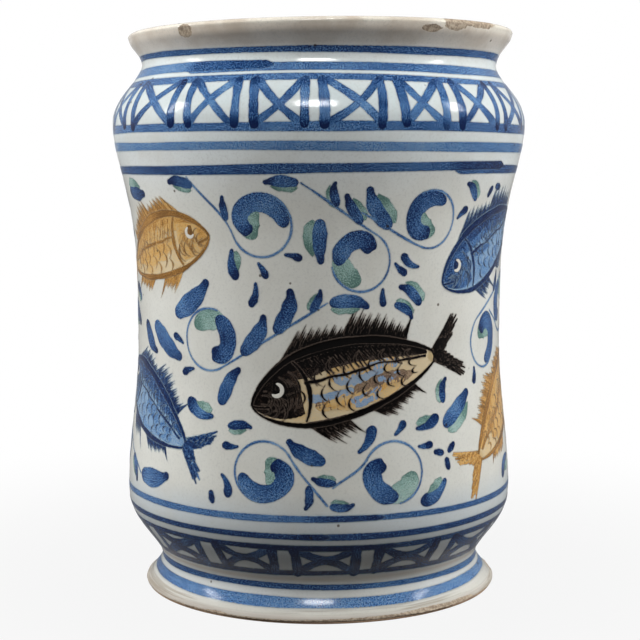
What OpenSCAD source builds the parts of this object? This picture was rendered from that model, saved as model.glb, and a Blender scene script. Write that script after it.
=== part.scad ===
// Albarello: a waisted storage jar, thrown in clay, glazed white inside and out
// and painted in cobalt with lines and two nets of crosses.
// Millimetres. The foot stands on z = 0 and the jar's axis is Z.

/* [Foot] */
// Diameter of the foot at its edge
foot_d = 155.2; // [146:0.2:168]
// Height of the upright edge of the foot
foot_edge_h = 1.6; // [1.2:0.1:3]
// Height of bare clay left under the outer glaze
bare_h = 1; // [0.4:0.1:1.1]
// Height of the ankle, the narrow ring above the foot
ankle_h = 12.4; // [10:0.2:16]
// Diameter of the ankle
ankle_d = 140.4; // [130:0.2:145]
// Diameter of the recess turned under the floor
recess_d = 118; // [90:1:128]
// Depth of the recess
recess_h = 4; // [2:0.5:6]
// How far the side of the recess slopes outwards on its way down
recess_slope = 3; // [1:0.5:6]

/* [Body] */
// Rise from the ankle to the belly, the widest ring low on the jar
belly_rise = 31; // [26:0.5:38]
// Diameter of the belly
belly_d = 169; // [160:0.5:180]
// Rise from the belly to the waist
waist_rise = 62; // [50:1:80]
// Diameter of the waist
waist_d = 159.4; // [145:0.2:165]
// Rise from the waist to the shoulder, the widest ring
shoulder_rise = 94; // [80:1:110]
// Diameter of the shoulder
shoulder_d = 179; // [170:0.5:190]

/* [Neck and lip] */
// Rise from the shoulder to the neck
neck_rise = 26.6; // [24:0.2:32]
// Diameter of the neck
neck_d = 153.8; // [144:0.2:160]
// Rise from the neck to the widest ring of the lip
lip_rise = 12.3; // [10:0.1:16]
// Diameter of the lip
lip_d = 166.4; // [160:0.2:176]
// Height of the rounded crown of the lip
crown_h = 1.7; // [1.2:0.1:2.6]

/* [Wall] */
// Thickness of the wall with its glaze
wall_t = 5.4; // [4.4:0.1:7]
// Thickness of the floor above the recess
floor_t = 13; // [10:0.5:16]
// Thickness of each coat of glaze
glaze_t = 0.5; // [0.3:0.05:0.8]

/* [Painted lines] */
// Thickness of the cobalt on the glaze
paint_t = 0.2; // [0.1:0.05:0.3]
// Width of the fine lines
fine_w = 2.6; // [1.6:0.1:3.2]
// Width of the broad lines
broad_w = 3.6; // [2.4:0.1:4]
// Height of the foot's lower line above the foot's edge
foot_low_up = 6.1; // [5:0.1:6.4]
// Height of the foot's upper line above the ankle
foot_high_up = 0.9; // [0.6:0.1:2]
// Height of the base net's lower line above the ankle
base_net_low_up = 7.4; // [6.4:0.1:8.4]
// Drop of the base net's upper line below the belly
base_net_high_down = 10.8; // [10.2:0.1:12]
// Drop of the base's lower line below the belly
base_low_down = 5.9; // [5:0.1:6.4]
// Height of the base's upper line above the belly
base_high_up = 1.5; // [1:0.1:6]
// Drop of the shoulder's lower line below the shoulder
shoulder_low_down = 17.7; // [14:0.1:24]
// Drop of the shoulder's upper line below the shoulder
shoulder_high_down = 8.8; // [7:0.1:9.6]
// Drop of the shoulder net's lower line below the shoulder
shoulder_net_low_down = 1.4; // [0:0.1:2.4]
// Drop of the shoulder net's upper line below the neck
shoulder_net_high_down = 9.3; // [9:0.1:13]
// Drop of the neck's lower line below the neck
neck_low_down = 4.4; // [3:0.1:4.8]
// Height of the neck's upper line above the neck
neck_high_up = 2; // [1.4:0.1:4]

/* [Painted nets] */
// Crosses around the shoulder
shoulder_cells = 19; // [14:1:22]
// Crosses around the base
base_cells = 14; // [10:1:16]
// Width of the upright bars
bar_w = 3.6; // [2:0.1:4]
// Spacing of the two bars of a pair
bar_gap = 6.6; // [5:0.1:8]
// Width of the crossed strokes
stroke_w = 3.4; // [2:0.1:4]
// Bare glaze left between the strokes of a net
net_clear = 0.3; // [0.1:0.05:0.6]

/* [Hidden] */
$fn = 180;

clay_colour = "#c79a74";
glaze_colour = "#e6e1d6";
cobalt_colour = "#3c5690";

// Tallest facet of a curved side, and facets on the crown and in the bowl
facet_h = 4;
crown_facets = 6;
bowl_facets = 15;

// Power that bends each rise: 1 is an even S curve, more holds the lower radius for longer, less the upper
foot_power = 1.6;
belly_power = 0.77;
waist_power = 1;
shoulder_power = 2.22;
neck_power = 1.33;
lip_power = 1.1;
// Power of the rounded bowl inside, where 2 would be an ellipse
bowl_power = 3;

belly_z = ankle_h + belly_rise;
waist_z = belly_z + waist_rise;
shoulder_z = waist_z + shoulder_rise;
neck_z = shoulder_z + neck_rise;
lip_z = neck_z + lip_rise;
lip_centre_r = lip_d / 2 - wall_t / 2;
bowl_r = belly_d / 2 - wall_t;
bowl_h = belly_z - recess_h - floor_t;

// Each line is its lower and its upper height
function line(z, w) = [z - w / 2, z + w / 2];
foot_low = line(foot_edge_h + foot_low_up, broad_w);
foot_high = line(ankle_h + foot_high_up, fine_w);
base_net_low = line(ankle_h + base_net_low_up, fine_w);
base_net_high = line(belly_z - base_net_high_down, fine_w);
base_low = line(belly_z - base_low_down, fine_w);
base_high = line(belly_z + base_high_up, fine_w);
shoulder_low = line(shoulder_z - shoulder_low_down, broad_w);
shoulder_high = line(shoulder_z - shoulder_high_down, broad_w);
shoulder_net_low = line(shoulder_z - shoulder_net_low_down, broad_w);
shoulder_net_high = line(neck_z - shoulder_net_high_down, fine_w);
neck_low = line(neck_z - neck_low_down, broad_w);
neck_high = line(neck_z + neck_high_up, fine_w);

// Heights at which the outer side has a corner, from the bare foot to the lip
levels = concat([bare_h, foot_edge_h], foot_low, foot_high,
                base_net_low, base_net_high, base_low, base_high,
                shoulder_low, shoulder_high, shoulder_net_low, shoulder_net_high,
                neck_low, neck_high, [lip_z]);

// A smooth step from 0 to 1 that lingers at its start where power is over 1, at its end where under 1
function ease(t, power) =
    let (s = power < 1 ? 1 - pow(1 - t, 1 / power) : pow(t, power))
    s * s * (3 - 2 * s);
function rise(z, z0, z1, d0, d1, power) = (d0 + (d1 - d0) * ease((z - z0) / (z1 - z0), power)) / 2;

// The foot spreads from the ankle down to its edge
function spread(z) =
    let (t = (ankle_h - z) / (ankle_h - foot_edge_h))
    (ankle_d + (foot_d - ankle_d) * pow(t, foot_power)) / 2;

// Radius of the jar's outer side at height z
function outer_r(z) =
    z <= foot_edge_h ? foot_d / 2 :
    z < ankle_h ? spread(z) :
    z < belly_z ? rise(z, ankle_h, belly_z, ankle_d, belly_d, belly_power) :
    z < waist_z ? rise(z, belly_z, waist_z, belly_d, waist_d, waist_power) :
    z < shoulder_z ? rise(z, waist_z, shoulder_z, waist_d, shoulder_d, shoulder_power) :
    z < neck_z ? rise(z, shoulder_z, neck_z, shoulder_d, neck_d, neck_power) :
    rise(z, neck_z, lip_z, neck_d, lip_d, lip_power);

function reversed(points) = [for (i = [len(points) - 1:-1:0]) points[i]];

// Heights from z0 up to z1, no further apart than one facet, and the same along a row of levels
function between(z0, z1) =
    let (n = ceil((z1 - z0) / facet_h))
    [for (i = [0:n - 1]) z0 + (z1 - z0) * i / n];
function along(row) =
    let (last = len(row) - 1)
    concat([for (i = [0:last - 1]) each between(row[i], row[i + 1])], [row[last]]);

// Outer side moved outwards, inner side from the belly up, the bowl below it, and the crown of the lip
function outer_side(row, out) = [for (z = along(row)) [outer_r(z) + out, z]];
function inner_side(out) =
    [for (z = along([belly_z, waist_z, shoulder_z, neck_z, lip_z]))
        [outer_r(z) - wall_t + out, z]];
function bowl(out) =
    [for (i = [0:bowl_facets - 1])
        let (a = 90 * i / bowl_facets)
        [(bowl_r + out) * pow(sin(a), 2 / bowl_power),
         belly_z - (bowl_h + out) * pow(cos(a), 2 / bowl_power)]];
function crown(inset, from, to) =
    [for (i = [1:crown_facets])
        let (a = from + (to - from) * i / crown_facets)
        [lip_centre_r + (wall_t / 2 - inset) * cos(a), lip_z + (crown_h - inset) * sin(a)]];

// Painted ring on the outer side between two heights
module painted_line(edges) {
    rotate_extrude() polygon(concat(outer_side(edges, paint_t), reversed(outer_side(edges, 0))));
}

// One cell of a net, flat: a cross between two upright bars
module net_cell(pitch, z0, z1) {
    bar_x = pitch / 2 - bar_gap / 2;
    cross_x = bar_x - bar_w / 2 - net_clear;
    stroke_x = stroke_w * norm([2 * cross_x, z1 - z0]) / (z1 - z0);
    for (side = [-1, 1]) {
        translate([side * bar_x - bar_w / 2, z0]) square([bar_w, z1 - z0]);
        polygon([[-side * cross_x, z0], [side * (stroke_x - cross_x), z0],
                 [side * cross_x, z1], [side * (cross_x - stroke_x), z1]]);
    }
}

// Net of crosses around the jar, with the line below it and the line above it
module painted_net(low, high, cells) {
    room = [low[1], high[0]];
    mid_r = outer_r((room[0] + room[1]) / 2);
    pitch = 2 * mid_r * tan(180 / cells);
    painted_line(low);
    painted_line(high);
    for (i = [0:cells - 1])
        rotate(i * 360 / cells)
            intersection() {
                painted_line(room);
                rotate([90, 0, 90])
                    linear_extrude(shoulder_d)
                        net_cell(pitch, room[0] + net_clear, room[1] - net_clear);
            }
}

// Thrown jar: foot ring, floor, wall, shoulder, neck and lip in one piece of clay
module clay_body() {
    color(clay_colour)
        rotate_extrude()
            polygon(concat(
                [[0, recess_h], [recess_d / 2, recess_h], [recess_d / 2 + recess_slope, 0]],
                outer_side(concat([0], levels), -glaze_t),
                crown(glaze_t, 0, 180),
                reversed(concat(bowl(glaze_t), inner_side(glaze_t)))));
}

// White glaze outside, from just above the table to the top of the lip
module outer_glaze() {
    color(glaze_colour)
        rotate_extrude()
            polygon(concat(
                outer_side(levels, 0), crown(0, 0, 90),
                reversed(concat(outer_side(levels, -glaze_t), crown(glaze_t, 0, 90)))));
}

// White glaze inside, from the floor to the top of the lip
module inner_glaze() {
    color(glaze_colour)
        rotate_extrude()
            polygon(concat(
                bowl(0), inner_side(0), crown(0, 180, 90),
                reversed(concat(bowl(glaze_t), inner_side(glaze_t), crown(glaze_t, 180, 90)))));
}

module neck_lines() {
    color(cobalt_colour) {
        painted_line(neck_low);
        painted_line(neck_high);
    }
}

module shoulder_net() {
    color(cobalt_colour) painted_net(shoulder_net_low, shoulder_net_high, shoulder_cells);
}

module shoulder_lines() {
    color(cobalt_colour) {
        painted_line(shoulder_low);
        painted_line(shoulder_high);
    }
}

module base_lines() {
    color(cobalt_colour) {
        painted_line(base_low);
        painted_line(base_high);
    }
}

module base_net() {
    color(cobalt_colour) painted_net(base_net_low, base_net_high, base_cells);
}

module foot_lines() {
    color(cobalt_colour) {
        painted_line(foot_low);
        painted_line(foot_high);
    }
}

clay_body();
outer_glaze();
inner_glaze();
neck_lines();
shoulder_net();
shoulder_lines();
base_lines();
base_net();
foot_lines();
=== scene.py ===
# %% [markdown]
# # A painted albarello
# This jar was thrown on a wheel in buff clay, dried, and dipped in a white tin glaze. Before the glaze was
# fired, a painter laid metal oxides on its powdery surface with a brush: cobalt for the blue lines, nets and
# leaves, copper for the soft green, and ochre and manganese for the fish. The lesson follows the layers. The
# CAD model gives the jar's sizes, so the first step loads it.

# %% Load the frame
import bpy
import numpy as np
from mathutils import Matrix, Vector


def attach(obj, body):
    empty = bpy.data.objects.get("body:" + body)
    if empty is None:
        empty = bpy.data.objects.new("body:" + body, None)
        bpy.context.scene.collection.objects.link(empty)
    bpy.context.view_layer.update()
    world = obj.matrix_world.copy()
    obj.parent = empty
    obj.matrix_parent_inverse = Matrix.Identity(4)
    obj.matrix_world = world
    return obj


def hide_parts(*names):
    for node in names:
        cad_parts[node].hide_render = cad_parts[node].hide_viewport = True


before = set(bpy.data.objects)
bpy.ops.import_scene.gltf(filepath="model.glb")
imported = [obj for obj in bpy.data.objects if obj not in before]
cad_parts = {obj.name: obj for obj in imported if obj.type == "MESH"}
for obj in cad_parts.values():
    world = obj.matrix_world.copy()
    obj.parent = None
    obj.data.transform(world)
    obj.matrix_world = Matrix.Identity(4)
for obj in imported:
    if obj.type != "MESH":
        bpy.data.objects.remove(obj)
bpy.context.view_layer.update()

# %% [markdown]
# ## Reading the jar's side
# A thrown jar is a profile turned about an axis. The profile could be typed in again, but then two files
# would hold the same sizes. Here it is read from the corners of the CAD glaze: the largest radius at each
# height. A smooth curve through those points then gives the radius at any height.

# %% The profile of the glaze
MM = 0.001
LIP_FROM = 0.95


def node_points(name):
    """Every corner of a CAD node, as rows of x, y and z in millimetres."""
    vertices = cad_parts[name].data.vertices
    flat = np.zeros(len(vertices) * 3, np.float32)
    vertices.foreach_get("co", flat)
    return flat.reshape(-1, 3).astype(float) / MM


def levels_of(name):
    """The heights at which a CAD node has corners, and the largest radius at each."""
    points = node_points(name)
    heights, which = np.unique(np.round(points[:, 2], 2), return_inverse=True)
    radii = np.zeros(len(heights))
    np.maximum.at(radii, which, np.hypot(points[:, 0], points[:, 1]))
    return heights, radii


glaze_z, glaze_r = levels_of("outer_glaze")
top_z, crown_r = glaze_z[-1], glaze_r[-1]
near_top = np.flatnonzero(glaze_z > LIP_FROM * top_z)
lip = near_top[np.argmax(glaze_r[near_top])]
lip_z, lip_r = glaze_z[lip], glaze_r[lip]
half_wall = lip_r - crown_r
side_z, side_r = glaze_z[:lip + 1], glaze_r[:lip + 1]
side_slope = np.gradient(side_r, side_z)
print("glaze from", side_z[0], "to the lip at", lip_z, "and its top at", top_z, "mm")

# %% Radius at any height
WAIST_Z = 105.4


def jar_radius(height):
    """Cubic Hermite curve: between two levels the radius leaves one with that level's slope and arrives at
    the next with its own."""
    i = np.clip(np.searchsorted(side_z, height) - 1, 0, len(side_z) - 2)
    step = side_z[i + 1] - side_z[i]
    t = np.clip((height - side_z[i]) / step, 0, 1)
    start = (1 + 2 * t) * (1 - t) ** 2 * side_r[i] + t * (1 - t) ** 2 * step * side_slope[i]
    end = t ** 2 * (3 - 2 * t) * side_r[i + 1] - t ** 2 * (1 - t) * step * side_slope[i + 1]
    return start + end


def ease(value, low, high):
    """A smooth step: 0 below low, 1 above high, and 3t^2 - 2t^3 in between."""
    t = np.clip((value - low) / (high - low), 0, 1)
    return t * t * (3 - 2 * t)


print("radius at the foot, waist and lip:", jar_radius(np.array([2.0, WAIST_Z, lip_z])).round(1), "mm")

# %% Points on the hand-made jar
# How far the thrown form strays from a true turned one, in millimetres
OVAL, THREE_SIDED, RINGS = 0.22, 0.1, 0.05
LIP_TILT, LIP_SHIFT, FOOT_SHIFT = 1.1, 0.7, 0.4
# The two waves of the throwing rings along the height, in radians for each millimetre
RING_WAVE, RING_SWELL = 0.55, 0.173
# In millimetres, where the lip's shift starts and where it is full, below the lip, and where the foot's is
# full and where it ends, above the table
LIP_ZONE, FOOT_ZONE = (16, 2), (4, 18)


def on_jar(angle, height, out=0.0, radius=None):
    """A point on the jar in metres. x is r sin(angle) and y is -r cos(angle), so angle 0 faces the camera and
    grows to the right. r is the profile's radius plus out, plus an oval wobble of the hand-thrown wall and
    faint throwing rings. The lip's ring tilts up to the right and sits a little off the axis, as the foot's
    does."""
    rings = RINGS * np.sin(height * RING_WAVE + 0.8 * np.sin(angle)) * np.sin(height * RING_SWELL + 1)
    wobble = OVAL * np.cos(2 * angle + 0.7) + THREE_SIDED * np.cos(3 * angle + 2) + rings
    r = (jar_radius(height) if radius is None else radius) + out + wobble
    near_lip = ease(height, lip_z - LIP_ZONE[0], lip_z - LIP_ZONE[1])
    near_foot = 1 - ease(height, *FOOT_ZONE)
    x = r * np.sin(angle) + LIP_SHIFT * near_lip + FOOT_SHIFT * near_foot
    y = -r * np.cos(angle)
    z = height + LIP_TILT * near_lip * np.sin(angle)
    return np.stack(np.broadcast_arrays(x, y, z), -1) * MM


print("front of the waist:", on_jar(0.0, WAIST_Z).round(4), "m")

# %% [markdown]
# ## The camera
# The photographer stood close, with the lens about three quarters of the way up the jar and tipped down by
# six degrees, so the lip's ring is seen almost edge on and the foot's ring is open. From that distance a lens
# of 85 mm on a full frame gives the photo's framing.

# %% Camera
CAMERA_AT = (0.0006, -0.665, 0.1838)
CAMERA_DOWN = 5.92
LENS_MM = 84.7
FULL_FRAME_MM = 36


def put(name, data):
    """A new object with this data, linked to the scene."""
    thing = bpy.data.objects.new(name, data)
    bpy.context.scene.collection.objects.link(thing)
    return thing


lens = bpy.data.cameras.new("camera")
lens.lens = LENS_MM
lens.sensor_width = FULL_FRAME_MM
camera = put("camera", lens)
camera.location = CAMERA_AT
camera.rotation_euler = (np.radians(90 - CAMERA_DOWN), 0, 0)
bpy.context.scene.camera = camera
print("camera at", CAMERA_AT)

# %% [markdown]
# ## From arrays to pieces
# Every piece is worked out as whole arrays of points and faces. One helper puts them into a mesh with its
# finish and sets it on the CAD body that it moves with.

# %% Making a piece
def make_piece(name, points, faces, finish, slot, stands_for=(), values=None, uv=None):
    """Mesh from arrays: points is n rows of x, y, z; faces is a list of index arrays, one row per face, each
    array with faces of one size. values are numbers per point, and uv a pair per point."""
    mesh = bpy.data.meshes.new(name)
    corners = np.concatenate([f.ravel() for f in faces]).astype(np.int32)
    sizes = np.concatenate([np.full(len(f), f.shape[1]) for f in faces]).astype(np.int32)
    mesh.vertices.add(len(points))
    mesh.vertices.foreach_set("co", np.asarray(points, np.float32).ravel())
    mesh.loops.add(len(corners))
    mesh.loops.foreach_set("vertex_index", corners)
    mesh.polygons.add(len(sizes))
    mesh.polygons.foreach_set("loop_start", (np.cumsum(sizes) - sizes).astype(np.int32))
    mesh.polygons.foreach_set("loop_total", sizes)
    mesh.polygons.foreach_set("use_smooth", np.ones(len(sizes), bool))
    for key, numbers in (values or {}).items():
        field = mesh.attributes.new(key, "FLOAT", "POINT")
        field.data.foreach_set("value", np.asarray(numbers, np.float32))
    if uv is not None:
        layer = mesh.uv_layers.new(name="brush")
        layer.data.foreach_set("uv", np.asarray(uv, np.float32)[corners].ravel())
    mesh.update(calc_edges=True)
    mesh.validate()
    piece = put(name, mesh)
    mesh.materials.append(finish)
    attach(piece, "root")
    if stands_for:
        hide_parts(*stands_for)
    print(name, len(points), "points,", int((sizes - 2).sum()), "triangles")


def ring_faces(rows, around, closed):
    """Quads of a turned surface whose points go round first and up second. closed joins the last row to the
    first, as on a skin with two sides."""
    last = rows if closed else rows - 1
    i, j = np.meshgrid(np.arange(last), np.arange(around), indexing="ij")
    up, on = (i + 1) % rows, (j + 1) % around
    return np.stack([i * around + j, i * around + on, up * around + on, up * around + j], -1).reshape(-1, 4)


# %% [markdown]
# ## Small words for shader nodes
# A finish is a handful of noises, ramps and mixes. These helpers keep each finish as short as its
# description: any input may be a plain number or another node's output. The room is lit by nodes too, so the
# words that it shares with the finishes stand apart.

# %% Node helpers
class Nodes:
    """A node tree, and the kinds of node that finishes and room share."""

    def __init__(self, tree):
        self.tree = tree

    def feed(self, socket, value):
        if isinstance(value, bpy.types.NodeSocket):
            self.tree.links.new(value, socket)
        else:
            socket.default_value = value

    def add(self, kind, inputs=None, **settings):
        node = self.tree.nodes.new("ShaderNode" + kind)
        for key, value in settings.items():
            setattr(node, key, value)
        for key, value in (inputs or {}).items():
            self.feed(node.inputs[key], value)
        return node

    def maths(self, kind, a, b):
        return self.add("Math", {0: a, 1: b}, operation=kind).outputs[0]

    def times(self, a, b):
        return self.maths("MULTIPLY", a, b)

    def shine(self, output, share, first, second):
        """Ends the tree with a mix of two shaders."""
        both = self.add("MixShader", {0: share, 1: first.outputs[0], 2: second.outputs[0]})
        self.feed(self.tree.nodes[output].inputs["Surface"], both.outputs[0])


class Finish(Nodes):
    """A material with its node tree, and one method for each kind of node that only finishes use."""

    def __init__(self, name):
        self.material = bpy.data.materials.new(name)
        self.material.use_nodes = True
        super().__init__(self.material.node_tree)
        self.surface = self.tree.nodes["Principled BSDF"]
        self.place = self.add("TexCoord").outputs["Object"]

    def set(self, **inputs):
        for key, value in inputs.items():
            self.feed(self.surface.inputs[key.replace("_", " ")], value)

    def attribute(self, name):
        return self.add("Attribute", attribute_name=name).outputs["Fac"]

    def stretched(self, vector, scale):
        return self.add("Mapping", {"Vector": vector, "Scale": scale}).outputs["Vector"]

    def noise(self, vector, scale, detail=2.0, rough=0.5):
        inputs = {"Vector": vector, "Scale": scale, "Detail": detail, "Roughness": rough}
        return self.add("TexNoise", inputs).outputs["Fac"]

    def sway(self, value, pattern, weight):
        """value + weight * (pattern - 0.5), so a pattern from 0 to 1 pushes the value down and up."""
        return self.maths("ADD", value, self.times(self.maths("SUBTRACT", pattern, 0.5), weight))

    def step(self, value, low, high, start=0.0, end=1.0):
        """start where value is below low, end where it is above high, and a smooth step between."""
        inputs = {"Value": value, "From Min": low, "From Max": high, "To Min": start, "To Max": end}
        return self.add("MapRange", inputs, interpolation_type="SMOOTHSTEP").outputs["Result"]

    def mix(self, share, a, b):
        return self.add("Mix", {0: share, 6: a, 7: b}, data_type="RGBA").outputs[2]

    def ramp(self, value, stops):
        """Colour by value: stops are places from 0 to 1, in order, each with its colour."""
        node = self.add("ValToRGB", {"Fac": value})
        steps = node.color_ramp.elements
        for at, _ in stops[1:-1]:
            steps.new(at)
        for step, (at, colour) in zip(steps, stops):
            step.position = at
            step.color = (*colour, 1)
        return node.outputs["Color"]

    def waves(self):
        """The uneven surface of a dipped glaze: slow waves about a centimetre long and a finer peel."""
        slow = self.times(self.noise(self.place, 95.0), 0.9)
        return self.maths("ADD", slow, self.times(self.noise(self.place, 320.0), 0.22))

    def pits(self):
        """1 inside the small burst bubbles and grains of grit of a glaze, 0 elsewhere."""
        grit = self.add("TexVoronoi", {"Vector": self.place, "Scale": 95.0})
        lot = self.add("SeparateColor", {"Color": grit.outputs["Color"]}).outputs[0]
        chosen = self.step(lot, 0.52, 0.54)
        return self.times(self.step(grit.outputs["Distance"], 0.04, 0.075, 1.0, 0.0), chosen)

    def bump(self, height, strength, depth):
        inputs = {"Height": height, "Strength": strength, "Distance": depth}
        return self.add("Bump", inputs).outputs["Normal"]


print("finish helpers ready")

# %% [markdown]
# ## White tin glaze
# Tin glaze is an opaque white glass about half a millimetre thick. It is never quite even. It is bluish
# between the lines and nets, where cobalt has bled into it, and warmer in the open field. It stains to beige
# along the lip, and dirt sits in the turned grooves of the foot and in the corner above it. It has pinholes
# and specks of grit. Its tone by height also holds painted light: painted shade on the foot's lower edge,
# the undercut base and the shoulder net, lighter glaze under the shoulder and on the lip, and a painted
# highlight along the lip's crown. A painted picture of all that would fit one jar only. One material makes it
# from height, noise and one number on the mesh, "bare", which rises from -1 to 1 towards the middle of a
# chip.

# %% Glaze finish
CLAY_PALE = (0.43, 0.355, 0.265, 1)
CLAY_DARK = (0.22, 0.165, 0.115, 1)
MOTTLE = (0.50, 0.485, 0.43, 1)
GREY_GRAIN = (0.40, 0.40, 0.385, 1)
BEIGE_STAIN = (0.47, 0.37, 0.28, 1)
GRIME = (0.24, 0.20, 0.15, 1)
PINHOLE = (0.07, 0.05, 0.035, 1)
# Heights in metres: where the lip's stain comes in, where the foot's grime ends, where the foot is worn dull
STAINED, GRIMY, WORN = (0.224, 0.237), (0.0035, 0.0075), (0.0028, 0.0034)
WAVE_STRENGTH, WAVE_DEPTH = 0.35, 0.0004


def glaze_finish(name, tones):
    """White glaze whose tone follows the height on the jar, painted shade and painted light included, with
    mottling, specks, pinholes and chips.
    """
    glaze = Finish(name)
    height = glaze.add("SeparateXYZ", {"Vector": glaze.place}).outputs["Z"]
    # The tone by height holds the glaze's colour and, on the outside, painted shade, lighter bands and a
    # painted highlight on the lip's crown
    tone = glaze.ramp(glaze.maths("DIVIDE", height, top_z * MM), tones)
    clouds = glaze.noise(glaze.place, 38.0, 4.0, 0.6)
    tone = glaze.mix(glaze.step(clouds, 0.35, 0.75, 0.0, 0.45), tone, MOTTLE)
    grain = glaze.noise(glaze.place, 1100.0, 2.0, 0.7)
    tone = glaze.mix(glaze.step(grain, 0.48, 0.72, 0.0, 0.32), tone, GREY_GRAIN)
    stain = glaze.times(glaze.step(height, *STAINED), glaze.step(clouds, 0.4, 0.7, 0.1, 0.7))
    tone = glaze.mix(stain, tone, BEIGE_STAIN)
    grooves = glaze.noise(glaze.stretched(glaze.place, (22, 22, 900)), 1.0, 3.0, 0.6)
    grime = glaze.times(glaze.step(height, *GRIMY, 1.0, 0.0), glaze.step(grooves, 0.46, 0.62))
    tone = glaze.mix(glaze.times(grime, 0.6), tone, GRIME)
    speck = glaze.pits()
    tone = glaze.mix(glaze.times(speck, 0.85), tone, PINHOLE)
    bare = glaze.sway(glaze.attribute("bare"), glaze.noise(glaze.place, 520.0, 4.0, 0.65), 1.2)
    bare = glaze.step(bare, -0.54, -0.44)
    sand = glaze.noise(glaze.place, 700.0, 4.0, 0.7)
    clay = glaze.mix(glaze.step(sand, 0.38, 0.62), CLAY_DARK, CLAY_PALE)
    dents = glaze.maths("SUBTRACT", glaze.waves(), glaze.times(bare, 0.6))
    dents = glaze.maths("SUBTRACT", dents, glaze.times(speck, 0.5))
    dull = glaze.maths("MAXIMUM", bare, glaze.step(height, *WORN, 1.0, 0.0))
    glaze.set(Base_Color=glaze.mix(bare, tone, clay), Roughness=glaze.step(dull, 0.0, 1.0, 0.14, 0.75),
              Normal=glaze.bump(dents, WAVE_STRENGTH, WAVE_DEPTH))
    return glaze.material


# Tone by height, as a share of the jar's height: foot, corner above it, base, field, shoulder, neck and lip.
# The glaze's own colour: a worn beige band on the foot, a darker, warmer band of dirt in the corner above it,
# bluish glaze between the lines, warmer glaze in the field, and beige stain on the lip. Painted light on top
# of
# it: painted shade that darkens the foot's edge towards the table, the undercut base and the shoulder net,
# lighter glaze in the band of lines under the shoulder and on the lip, and a painted highlight along the
# lip's crown.
OUTSIDE_TONES_AND_PAINTED_LIGHT = [(0.0, (0.16, 0.135, 0.115)), (0.006, (0.36, 0.32, 0.275)), (0.0115, (0.38, 0.345, 0.30)),
                 (0.0135, (0.54, 0.53, 0.475)), (0.03, (0.54, 0.53, 0.49)), (0.045, (0.53, 0.55, 0.545)),
                 (0.064, (0.52, 0.53, 0.51)), (0.069, (0.40, 0.355, 0.30)), (0.073, (0.44, 0.40, 0.35)),
                 (0.078, (0.46, 0.475, 0.47)), (0.19, (0.49, 0.53, 0.545)), (0.23, (0.60, 0.60, 0.555)),
                 (0.70, (0.62, 0.62, 0.575)), (0.765, (0.66, 0.69, 0.685)), (0.88, (0.52, 0.585, 0.595)),
                 (0.945, (0.64, 0.69, 0.69)), (0.96, (0.69, 0.65, 0.59)), (0.986, (0.70, 0.63, 0.54)),
                 (0.991, (0.80, 0.76, 0.67)), (1.0, (0.70, 0.66, 0.56))]
INSIDE_TONES = [(0.0, (0.60, 0.57, 0.49)), (1.0, (0.64, 0.60, 0.50))]
white_outside = glaze_finish("white_glaze_outside", OUTSIDE_TONES_AND_PAINTED_LIGHT)
white_inside = glaze_finish("white_glaze_inside", INSIDE_TONES)
print("glaze finishes:", white_outside.name, white_inside.name)

# %% [markdown]
# ## The glazed outside
# The outside is a skin: up the jar's side, over the crown of the lip, and back down just under the surface.
# Chips on the lip and wear on the foot's edge are dents in that skin, each with a number for how bare it is.
# A noise in the finish makes the edge of every chip ragged, so the mesh can stay even.

# %% Chips and wear
# Each chip as its angle, its height above the lip's edge or the table, its half width and its half height
LIP_CHIPS = [(-40, -1.7, 2.5, 1.8), (32.0, -2.4, 3.2, 1.0), (40.5, 0.0, 4.4, 2.0), (51, 0.6, 7.5, 1.3),
             (118, 0.8, 5.0, 1.8), (171, -0.6, 3.0, 1.6), (-128, 1.2, 7.0, 1.4), (-88, 0.9, 2.4, 1.2)]
FOOT_CHIPS = [(20, 1.7, 9.0, 0.5), (36, 2.0, 12.0, 0.6), (50, 1.9, 7.0, 0.6), (-33, 1.6, 5.0, 0.4),
              (95, 1.8, 7.0, 1.6), (150, 2.0, 5.0, 1.6), (-140, 1.8, 8.0, 1.8)]


def chip_field(angle, height, chips, about):
    """How bare the glaze is: for each chip, 1 at its middle, falling to 0 along an ellipse of its half width
    and half height and below 0 outside. The largest of them counts."""
    field = np.full(np.broadcast(angle, height).shape, -1.0)
    for degrees, up, half_w, half_h in chips:
        turn = (angle - np.radians(degrees) + np.pi) % (2 * np.pi) - np.pi
        far = np.hypot(turn * lip_r / half_w, (height - about - up) / half_h)
        field = np.maximum(field, 1 - far)
    return field


def bare_field(angle, height):
    """Chips on the lip and on the foot, and a worn line along the foot's lower edge."""
    on_lip = chip_field(angle, height, LIP_CHIPS, lip_z)
    on_foot = chip_field(angle, height, FOOT_CHIPS, 0)
    worn = 0.35 * np.sin(3 * angle + 1) + 0.25 * np.sin(7 * angle) - (height - 1.4) / 0.9
    return np.clip(np.maximum(np.maximum(on_lip, on_foot), worn), -1, 1)


print(len(LIP_CHIPS), "chips on the lip and", len(FOOT_CHIPS), "on the foot")

# %% Outer skin
AROUND = 360
SKIN = 0.45
DENT = 0.3
# The foot below and the shoulder above these heights bend more, so their rows lie closer
FOOT_END, SHOULDER_START = 36, 192


def turn_angles(around):
    return np.arange(around) * 2 * np.pi / around


def lip_arc(inset, first, last, count):
    """Radii and heights over the crown of the lip, from one angle to another: an ellipse with half the lip's
    thickness and the crown's rise. 0 degrees is its outside, 90 its top and 180 its inside."""
    a = np.radians(np.linspace(first, last, count))
    return np.array([crown_r + (half_wall - inset) * np.cos(a), lip_z + (top_z - lip_z - inset) * np.sin(a)])


def profile(*parts):
    """Radii and heights of one profile, from parts that each give theirs."""
    return np.concatenate([np.asarray(part, float) for part in parts], axis=1)


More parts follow.
